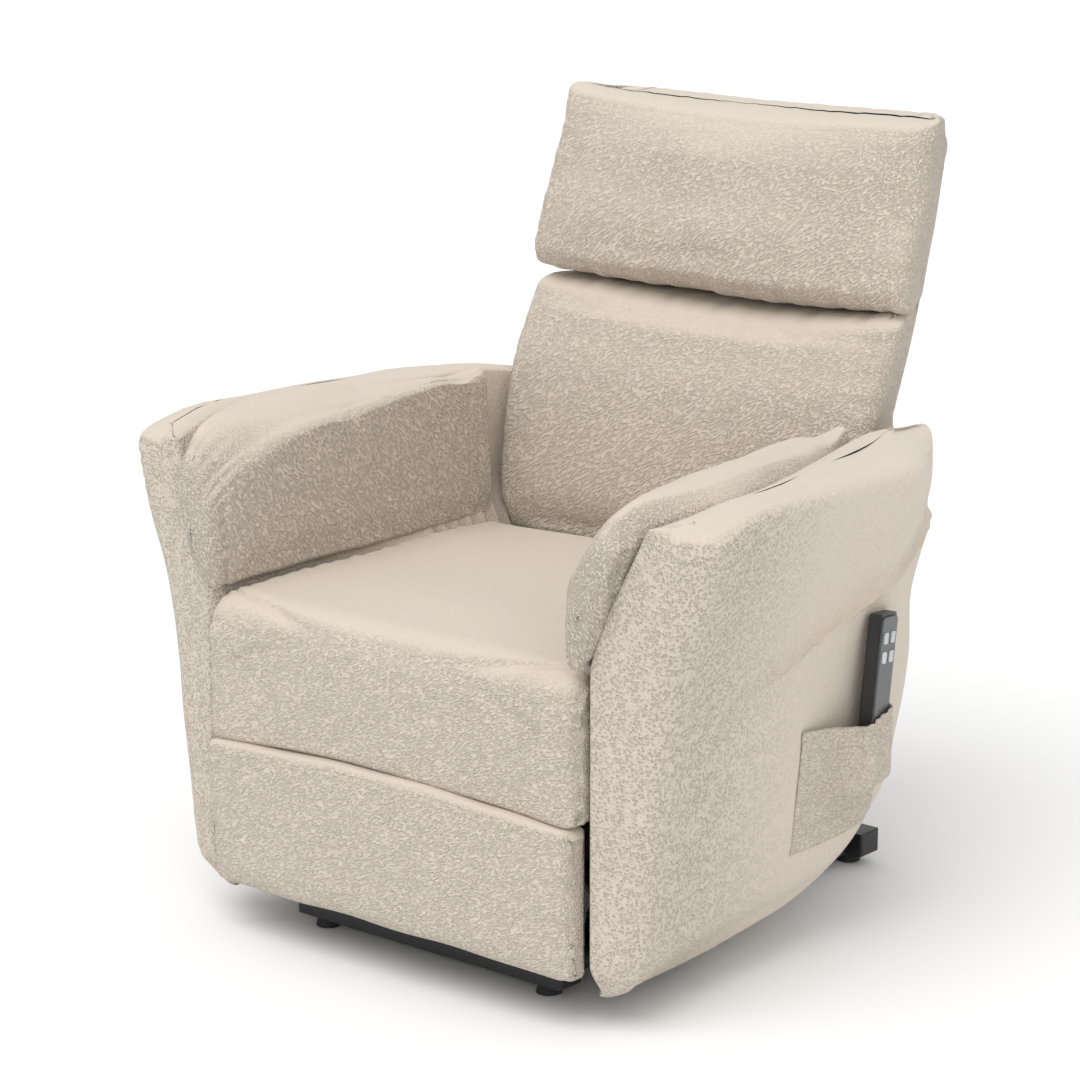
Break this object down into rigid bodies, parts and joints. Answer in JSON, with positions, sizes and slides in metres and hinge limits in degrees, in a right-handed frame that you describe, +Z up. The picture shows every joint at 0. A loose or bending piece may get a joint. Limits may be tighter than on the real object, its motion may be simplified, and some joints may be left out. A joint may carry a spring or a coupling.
{
  "type": "lift recliner chair",
  "caption": "Powered lift recliner chair: a padded seat on a lifting base, with a reclining back, a folding leg rest, padded arms and a side pocket.",
  "frame": {"origin": "on the floor, under the middle of the upright chair's bounding box", "axes": "+Z up, -Y the way the sitter faces, +X the side with the handset pocket"},
  "size_m": [0.91, 0.898, 1.02],
  "materials": {
    "upholstery": "textured woven upholstery",
    "cushion_fabric": "textured woven upholstery",
    "black_steel": "satin powder coat",
    "bare_steel": "zinc plated",
    "foot_rubber": "matt",
    "black_plastic": "fine texture",
    "grey_plastic": "satin",
    "key_plastic": "satin",
    "frame_wood": "plain plywood",
    "webbing": "elastic webbing"
  },
  "bodies": {
    "base": {"base_crossbars": "black_steel", "base_rails": "black_steel", "rubber_feet": "foot_rubber", "bar_end_caps": "black_plastic", "lift_base_brackets": "black_steel", "lift_base_pins": "bare_steel"},
    "lift_arms": {"lift_links": "black_steel", "lift_link_tubes": "black_steel", "lift_chair_pins": "bare_steel"},
    "chair": {"mechanism_plates": "black_steel", "arm_frames": "frame_wood", "arm_bolts": "bare_steel", "seat_cross_rails": "black_steel", "seat_webbing": "webbing", "lift_carriers": "black_steel", "actuator_brackets": "black_steel", "actuator_pins": "bare_steel", "recline_pins": "bare_steel", "leg_link_pins": "bare_steel", "control_box": "black_plastic", "power_inlet": "black_plastic", "rear_cover": "upholstery", "right_arm_shell": "upholstery", "left_arm_shell": "upholstery", "right_side_panel": "upholstery", "left_side_panel": "upholstery", "right_arm_pad": "cushion_fabric", "left_arm_pad": "cushion_fabric", "handset_pocket": "cushion_fabric", "seat_cushion": "cushion_fabric"},
    "lift_motor_body": {"lift_actuator_motor": "black_plastic", "lift_actuator_tube": "black_plastic"},
    "lift_rod_body": {"lift_actuator_rod": "bare_steel"},
    "backrest": {"lower_back_cushion": "cushion_fabric", "head_cushion": "cushion_fabric", "back_uprights": "frame_wood", "back_rails": "frame_wood", "back_webbing": "webbing", "back_rear_cover": "upholstery", "recline_brackets": "black_steel", "bracket_bolts": "bare_steel", "recline_lever": "black_steel"},
    "recline_motor_body": {"recline_actuator_motor": "black_plastic", "recline_actuator_tube": "black_plastic"},
    "recline_rod_body": {"recline_actuator_rod": "bare_steel"},
    "leg_links_a": {"leg_links_rear": "black_steel", "leg_knee_pins": "bare_steel"},
    "leg_links_b": {"leg_links_front": "black_steel", "leg_cross_bar": "black_steel"},
    "leg_rest": {"leg_panel_board": "frame_wood", "leg_panel_brackets": "black_steel", "leg_panel_pins": "bare_steel", "leg_panel_cushion": "cushion_fabric"},
    "handset": {"handset_case": "black_plastic", "handset_face": "grey_plastic"},
    "lift_up_key": {"lift_up_button": "key_plastic"},
    "lift_down_key": {"lift_down_button": "key_plastic"},
    "recline_up_key": {"recline_up_button": "key_plastic"},
    "recline_down_key": {"recline_down_button": "key_plastic"}
  },
  "joints": [
    {"name": "lift", "type": "hinge", "parent": "base", "child": "lift_arms", "pos_m": [0, -0.23, 0.06], "axis": [1, 0, 0], "range_deg": [0, 60]},
    {"name": "chair_tilt", "type": "hinge", "parent": "lift_arms", "child": "chair", "pos_m": [0, 0.19, 0.125], "axis": [1, 0, 0], "range_deg": [-33.5, 0.5]},
    {"name": "lift_motor_swing", "type": "hinge", "parent": "chair", "child": "lift_motor_body", "pos_m": [0, -0.2, 0.14], "axis": [1, 0, 0], "range_deg": [-1, 3]},
    {"name": "lift_rod_slide", "type": "slide", "parent": "lift_motor_body", "child": "lift_rod_body", "axis": [0, 0.9702, -0.2423], "range_m": [-0.001, 0.046]},
    {"name": "recline", "type": "hinge", "parent": "chair", "child": "backrest", "pos_m": [0, 0.13, 0.4], "axis": [-1, 0, 0], "range_deg": [0, 45]},
    {"name": "recline_motor_swing", "type": "hinge", "parent": "chair", "child": "recline_motor_body", "pos_m": [0, -0.15, 0.16], "axis": [1, 0, 0], "range_deg": [-1, 5]},
    {"name": "recline_rod_slide", "type": "slide", "parent": "recline_motor_body", "child": "recline_rod_body", "axis": [0, 0.9722, 0.234], "range_m": [-0.14, 0.001]},
    {"name": "leg_lift", "type": "hinge", "parent": "chair", "child": "leg_links_a", "pos_m": [0, -0.368, 0.227], "axis": [-1, 0, 0], "range_deg": [0, 111.5]},
    {"name": "leg_knee", "type": "hinge", "parent": "leg_links_a", "child": "leg_links_b", "pos_m": [0, -0.286, 0.062], "axis": [-1, 0, 0], "range_deg": [-133.5, 0.5]},
    {"name": "leg_panel_tilt", "type": "hinge", "parent": "leg_links_b", "child": "leg_rest", "pos_m": [0, -0.392, 0.215], "axis": [-1, 0, 0], "range_deg": [-0.5, 102.6]},
    {"name": "handset_lift_out", "type": "slide", "parent": "chair", "child": "handset", "axis": [0, 0.1392, 0.9903], "range_m": [0, 0.03]},
    {"name": "lift_up_press", "type": "slide", "parent": "handset", "child": "lift_up_key", "axis": [-0.9781, -0.2059, 0.0289], "range_m": [0, 0.0008], "stiffness_N_per_m": 400, "springref_m": -0.001},
    {"name": "lift_down_press", "type": "slide", "parent": "handset", "child": "lift_down_key", "axis": [-0.9781, -0.2059, 0.0289], "range_m": [0, 0.0008], "stiffness_N_per_m": 400, "springref_m": -0.001},
    {"name": "recline_up_press", "type": "slide", "parent": "handset", "child": "recline_up_key", "axis": [-0.9781, -0.2059, 0.0289], "range_m": [0, 0.0008], "stiffness_N_per_m": 400, "springref_m": -0.001},
    {"name": "recline_down_press", "type": "slide", "parent": "handset", "child": "recline_down_key", "axis": [-0.9781, -0.2059, 0.0289], "range_m": [0, 0.0008], "stiffness_N_per_m": 400, "springref_m": -0.001}
  ],
  "couplings": [
    {"joint": "chair_tilt", "follows": "lift", "ratio": -0.55},
    {"joint": "lift_motor_swing", "follows": "lift", "ratio": 0.02487},
    {"joint": "lift_rod_slide", "follows": "lift", "m_per_rad": 0.04224},
    {"joint": "recline_motor_swing", "follows": "recline", "ratio": 0.07313},
    {"joint": "recline_rod_slide", "follows": "recline", "m_per_rad": -0.16908},
    {"joint": "leg_knee", "follows": "leg_lift", "ratio": -1.191},
    {"joint": "leg_panel_tilt", "follows": "leg_lift", "ratio": 0.9157}
  ]
}
